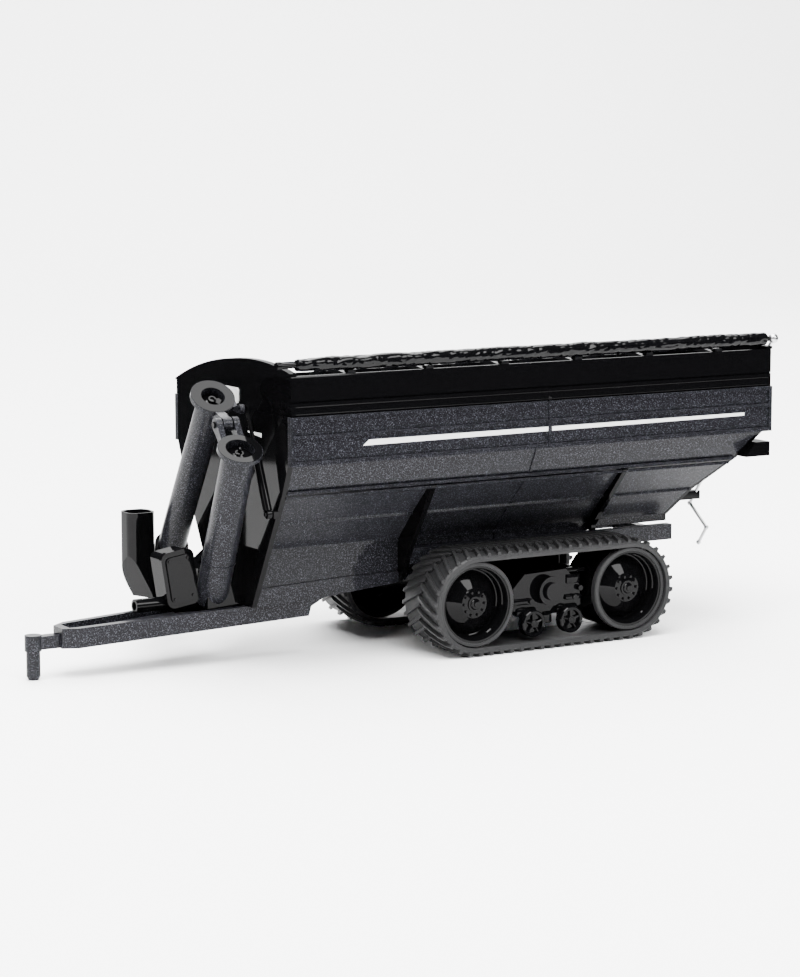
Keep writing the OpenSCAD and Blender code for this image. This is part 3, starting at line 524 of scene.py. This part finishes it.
class Roller(Piece):
    """One spoked mid roller."""

    SPOKES = 5

    def make(self, side: Side, place: str) -> None:
        """Args: the side, and front or rear."""
        name = f"{side.word}_{place}_roller"
        low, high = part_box(name)
        x, z = (low.x + high.x) / 2 / MM, (low.z + high.z) / 2 / MM
        y = side.value * max(abs(low.y), abs(high.y)) / MM
        inward = -side.value
        r = (high.x - low.x) / 2 / MM
        w = (high.y - low.y) / MM
        turned = [
            Bench.lathe("tread", [(r - 0.75, 0.15), (r - 0.2, 0.0), (r, 0.2), (r, w - 0.2), (r - 0.75, w)],
                        (x, y, z), (0, inward, 0), 48),
            Bench.lathe("web", [(0.85, 0.9), (r - 0.7, 0.9), (r - 0.7, w), (0.85, w)],
                        (x, y, z), (0, inward, 0), 48),
            Bench.lathe("nave", [(0.0, -0.05), (0.5, -0.05), (0.8, 0.2), (1.0, 0.95), (0.0, 0.95)],
                        (x, y, z), (0, inward, 0), 24)]
        for i in range(self.SPOKES):
            a = 2 * math.pi * i / self.SPOKES + 0.3
            tip = (x + (r - 0.7) * math.cos(a), y + inward * 0.55, z + (r - 0.7) * math.sin(a))
            turned.append(Bench.rod("spoke", (x, y + inward * 0.45, z), tip, 0.32, 8))
        self.finish(Bench.smooth(Bench.join(f"{name}_spoked", turned), 30), Slot.GLOSS, name, [name])


class TrackDetail(Piece):
    """Castings on a track frame between its wheels."""

    def make(self, lay: Layout, side: Side) -> None:
        """Args: the layout and the side."""
        s = side.value
        x0, z0, y = lay.pivot_x, lay.wheel_z, lay.half_w
        parts = []

        def block(name: str, xs: Point, ys: Point, zs: Point, bevel: float = 0.25) -> None:
            """Adds a casting block. Args: name, its spans from the pivot, across and up, and its bevel."""
            low = (x0 + xs[0], min(s * ys[0], s * ys[1]), z0 + zs[0])
            high = (x0 + xs[1], max(s * ys[0], s * ys[1]), z0 + zs[1])
            parts.append(Bench.box(name, low, high, bevel))

        block("shelf", (4.6, 10.6), (y - 4.6, y - 7), (4.3, 5.2))
        block("pocket", (5.0, 8.6), (y - 3.6, y - 4.2), (2.0, 4.1))
        block("arm", (-9.6, -4.2), (y - 3.4, y - 4.2), (-1.8, -0.4), 0.4)
        block("arm_rear", (4.6, 8.8), (y - 3.3, y - 4.2), (-1.6, -0.5), 0.3)
        block("foot", (-8.4, -3.0), (y - 3.3, y - 6), (-4.4, -2.4), 0.7)
        block("foot_rear", (2.2, 8.0), (y - 3.3, y - 6), (-4.4, -2.5), 0.7)
        block("link", (-1.2, 1.0), (y - 3.5, y - 4.2), (-6.4, -3.8), 0.3)
        for px, pz in ((7.0, -1.1), (8.4, 0.9), (-4.6, -1.1)):
            outer, inner = ((x0 + px, s * (y - depth), z0 + pz) for depth in (3.0, 4.4))
            parts.append(Bench.rod("pin", outer, inner, 0.6, 16))
        obj = Bench.smooth(Bench.join(f"{side.word}_track_castings", parts), 40)
        self.finish(obj, Slot.GLOSS, f"{side.word}_track")


class TarpRoll(Piece):
    """The rolled tarp: a creased tube along the left extension."""

    BARE_FRONT, BARE_REAR = 4.6, 0.9
    BASE_R = 1.4
    THICKENING = 0.2
    CREASE_DEPTH = 0.13
    LEDGE = 0.22
    TUBE_R = 0.6

    def make(self) -> None:
        """Builds the roll, its end collar and its front stub."""
        low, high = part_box("tarp_roll")
        y, z = (low.y + high.y) / 2 / MM, (low.z + high.z) / 2 / MM
        x0, x1 = low.x / MM, high.x / MM
        start, end = x0 + self.BARE_FRONT, x1 - self.BARE_REAR
        rows, sides = 420, 40
        rng = random.Random(64)
        shift = [rng.uniform(0, 50) for _ in range(3)]
        loops = []
        for i in range(rows + 1):
            t = i / rows
            x = start + (end - start) * t
            swell = self.BASE_R + self.THICKENING * min(1.0, t * 9)
            end_round = min(1.0, (x - start + 0.12) / 0.5, (end - x + 0.12) / 0.5)
            sag = 0.1 * noise.noise(Vector((x * 0.11, 0, shift[0])))
            ring = []
            for k in range(sides):
                a = 2 * math.pi * k / sides
                c, s = math.cos(a), math.sin(a)
                ripple = 0.1 * noise.noise(Vector((x * 0.35, c * 1.3, s * 1.3 + shift[1])))
                crease = abs(noise.noise(Vector((x * 0.45 + a * 0.5, c * 0.9, s * 0.9 + shift[2]))))
                drift = 0.9 * noise.noise(Vector((x * 0.16, 3.1, 0)))
                ledge = self.LEDGE * max(0.0, math.cos(a - 2.2 - drift)) ** 6
                furrow = self.CREASE_DEPTH * (1 - min(1.0, crease * 4))
                r = (swell + ripple - furrow + ledge) * (0.25 + 0.75 * math.sqrt(max(0.0, end_round)))
                ring.append((x, y + r * c, z + sag + r * s * 0.96))
            loops.append(ring)
        roll = Bench.smooth(Bench.from_loops("tarp_roll_creased", loops), 60)
        self.finish(roll, Slot.VINYL, "roll", ["tarp_roll"])
        stub = Bench.rod("tube", (x0, y, z), (x1, y, z), self.TUBE_R, 24)
        collar = [(0.5, 0.0), (0.85, 0.0), (0.95, 0.15), (0.95, 1.0), (0.5, 1.0)]
        ring = Bench.lathe("collar", collar, (x0, y, z), (1, 0, 0), 32)
        self.finish(Bench.smooth(Bench.join("tarp_tube", [stub, ring]), 30), Slot.GLOSS, "roll")


class AugerMouths(Piece):
    """Dark bearing plates with a hub inside the two tubes' open ends, and a thin ring on their flange faces."""

    DEPTH = 2.0
    FACE_R = 4.75
    RAKE, LEAN, TWIST = -5, 30, -6
    FOLD = 8.5 - 180
    HINGE = Vector((0, 8.7, 0))
    FACE_GAP = 0.3
    LOWER_BORE, UPPER_BORE = 3.1, 2.6

    def mouth(self, name: str, centre: Point, out: Vector, bore: float, socket: bool) -> bpy.types.Object:
        """Args: name, the mouth's centre and outward direction, bore radius, whether its hub is hollow.

        Returns: the plate with its hub.
        """
        low = -self.DEPTH
        hub = [(0.0, low - 0.4), (bore - 0.02, low - 0.4), (bore - 0.02, low), (1.5, low), (1.3, low + 0.5),
               (0.95, low + 0.6)]
        hub += [(0.85, low + 1.3), (0.5, low + 1.35), (0.45, low + 0.8), (0.0, low + 0.8)] if socket else [
            (0.85, low + 0.9), (0.45, low + 1.1), (0.35, low + 2.1), (0.0, low + 2.4)]
        face = [(bore, 0.02), (self.FACE_R, 0.02), (self.FACE_R, 0.08), (bore, 0.08)]
        ring = Bench.lathe("face", face, centre, out, 64)
        return Bench.smooth(Bench.join(name, [Bench.lathe("plate", hub, centre, out, 48), ring]), 30)

    def make(self, lay: Layout) -> None:
        """Args: the layout."""
        face = Vector((lay.tank_x - 9, -lay.half_w + 5.7, lay.deck_z - 6.5))
        turn = (Matrix.Rotation(math.radians(self.RAKE), 3, "Y") @ Matrix.Rotation(math.radians(self.LEAN), 3, "X")
                @ Matrix.Rotation(math.radians(self.TWIST), 3, "Z"))
        fold = Matrix.Rotation(math.radians(self.FOLD), 3, "X")
        upper = face + turn @ (self.HINGE + fold @ (Vector((0, 0, self.FACE_GAP)) - self.HINGE))
        lower_out, upper_out = turn @ Vector((0, 0, 1)), turn @ fold @ Vector((0, 0, -1))
        self.finish(self.mouth("lower_mouth", face, lower_out, self.LOWER_BORE, False), Slot.GLOSS, "chassis")
        self.finish(self.mouth("upper_mouth", upper, upper_out, self.UPPER_BORE, True), Slot.GLOSS, "upper_auger")


class ExtensionTrim(Piece):
    """Folded lips along the foot of the left and right extensions, with a seam cover half way."""

    LIP_R = 0.16
    LIP_GAP = 1.6
    SEAM_AT = 64.5
    SEAM_W = 0.8

    def make(self, lay: Layout) -> None:
        """Args: the layout."""
        for side in Side:
            low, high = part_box(f"{side.word}_extension")
            face = (low.y if side is Side.LEFT else high.y) / MM
            x0, x1 = low.x / MM + 1.0, high.x / MM - 1.0
            foot = lay.deck_z + 0.5
            lips = [Bench.rod("lip", (x0, face, foot + up), (x1, face, foot + up), self.LIP_R, 16)
                    for up in (0.0, self.LIP_GAP)]
            seam_x = lay.tank_x + self.SEAM_AT
            cover = Bench.box("seam", (seam_x, face - 0.12, foot - 0.2),
                              (seam_x + self.SEAM_W, face + 0.12, foot + 1.9), 0.05)
            self.finish(Bench.smooth(Bench.join(f"{side.word}_lips", [*lips, cover]), 35), Slot.GLOSS, "chassis")


class Stripes(Piece):
    """Plain silver stripes on the bands."""

    def strip(self, name: str, corners: Sequence[Point], out: Point, thick: float = 0.06) -> bpy.types.Object:
        """Args: name, corners in mm, the direction it stands out in, thickness. Returns: a thin plate."""
        step = Vector(out) * thick
        return Bench.from_loops(name, [[Vector(c) for c in corners], [Vector(c) + step for c in corners]])

    def make(self, lay: Layout) -> None:
        """Args: the layout."""
        x, y, z = lay.tank_x, lay.half_w, lay.deck_z
        for side in Side:
            s = side.value
            face = y - 0.4 + 0.02
            bar = self.strip("main", [(x + 17.6, s * face, z - 6.95), (x + 118.3, s * face, z - 6.45),
                                      (x + 118.3, s * face, z - 5.75), (x + 19.0, s * face, z - 5.75)], (0, s, 0))
            self.finish(Bench.join(f"{side.word}_stripe", [bar]), Slot.WHITE, "chassis")
        front = self.strip("front", [(x - 0.01, -y + 13.2, z - 5.5), (x - 0.01, -y + 19.5, z - 5.0),
                                     (x - 0.01, -y + 19.5, z - 4.7), (x - 0.01, -y + 13.2, z - 4.6)], (-1, 0, 0))
        self.finish(Bench.join("front_stripe", [front]), Slot.WHITE, "chassis")


# ---------------------------------------------------------------- studio


class Studio:
    """Floor, backdrop, lights and camera."""

    RIGHT = Vector((0.8631, -0.505, 0))
    BACK = Vector((-0.5051, -0.8631, 0))

    def plane(self, name: str, near: Point, far: Point) -> bpy.types.Object:
        """Args: name, near and far edges as (reach, left, right) in metres, in the camera's directions.

        Returns: the swept floor.
        """
        rise, top, steps = 0.4, 2.2, 16
        rows = [(near[0], 0.0, near[1], near[2]), (-far[0], 0.0, far[1], far[2])]
        for i in range(1, steps + 1):
            a = math.pi / 2 * i / steps
            rows.append((-far[0] - rise * math.sin(a), rise - rise * math.cos(a), far[1], far[2]))
        rows.append((-far[0] - rise, top, far[1], far[2]))
        verts = [self.RIGHT * u + self.BACK * v + Vector((0, 0, h))
                 for v, h, left, right in rows for u in (left, right)]
        faces = [(2 * i, 2 * i + 1, 2 * i + 3, 2 * i + 2) for i in range(len(rows) - 1)]
        mesh = bpy.data.meshes.new(name)
        mesh.from_pydata(verts, [], faces)
        obj = bpy.data.objects.new(name, mesh)
        bpy.context.scene.collection.objects.link(obj)
        return Bench.smooth(obj, 60)

    def floor(self) -> None:
        """Builds the pale seamless floor."""
        sweep = self.plane("floor_sweep", (0.32, -0.22, 0.18), (1.1, -0.5, 0.48))
        mat = bpy.data.materials.new("floor_white")
        mat.use_nodes = True
        bsdf = next(n for n in mat.node_tree.nodes if n.type == "BSDF_PRINCIPLED")
        bsdf.inputs["Base Color"].default_value = (0.97, 0.97, 0.97, 1)
        bsdf.inputs["Roughness"].default_value = 0.75
        sweep.data.materials.append(mat)

    def area(self, name: str, at: Point, size: tuple[float, float], power: float,
             aim: Point = (0, 0, 0.03)) -> None:
        """Args: name, place in metres, size, power in watts, what it points at."""
        bpy.ops.object.light_add(type="AREA", location=at)
        lamp = bpy.context.object
        lamp.name = lamp.data.name = name
        lamp.data.shape = "RECTANGLE"
        lamp.data.size, lamp.data.size_y = size
        lamp.data.energy = power
        lamp.rotation_euler = (Vector(aim) - Vector(at)).to_track_quat("-Z", "Y").to_euler()

    def lights(self) -> None:
        """Hangs the softboxes and sets the dim room."""
        self.area("top_box", (-0.2, -0.25, 0.95), (0.8, 0.8), 55)
        self.area("front_box", (-0.95, -0.25, 0.45), (0.5, 0.5), 4)
        self.area("near_box", (0.35, -0.9, 0.75), (0.5, 0.5), 16)
        self.area("back_box", (0.3, 1.0, 1.1), (2.0, 1.0), 95, (0, 1.0, 0.1))
        world = bpy.data.worlds.new("room")
        world.use_nodes = True
        world.node_tree.nodes["Background"].inputs[0].default_value = (0.9, 0.95, 1.0, 1)
        world.node_tree.nodes["Background"].inputs[1].default_value = 0.12
        bpy.context.scene.world = world

    def camera(self) -> None:
        """Places the camera."""
        bpy.ops.object.camera_add(location=(-0.3203, -0.5524, 0.1257),
                                  rotation=(math.radians(81.88), 0, math.radians(-30.331)))
        cam = bpy.context.object
        cam.data.lens = 105.62
        cam.data.sensor_width = 36
        cam.data.clip_start, cam.data.clip_end = 0.01, 20
        bpy.context.scene.camera = cam

    def make(self) -> None:
        """Builds the whole studio."""
        self.floor()
        self.lights()
        self.camera()


class Cart:
    """The grain cart: CAD nodes with their finishes, and the pieces modelled here."""

    def __init__(self) -> None:
        self.shop = MaterialShop()
        self.lay = Layout.read()

    def paint_nodes(self) -> None:
        """Gives every CAD node the material of its slot."""
        slots = {s.value: s for s in Slot}
        for part in frame["record"]["subparts"]:
            obj = frame["nodes"][part["node"]]
            self.shop.paint(obj, slots[part["material_slot"]])

    def make(self) -> None:
        """Builds all pieces in order."""
        self.paint_nodes()
        for side in Side:
            Belt(self.shop, self.lay, side).make()
            for place in ("front", "rear"):
                Wheel(self.shop, self.lay, side, place).make()
                Roller(self.shop).make(side, place)
            TrackDetail(self.shop).make(self.lay, side)
        TarpRoll(self.shop).make()
        AugerMouths(self.shop).make(self.lay)
        ExtensionTrim(self.shop).make(self.lay)
        Stripes(self.shop).make(self.lay)


def main() -> None:
    """Builds the scene."""
    logging.basicConfig(level=logging.INFO)
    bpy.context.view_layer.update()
    Studio().make()
    Cart().make()


if __name__ == "__main__":
    main()
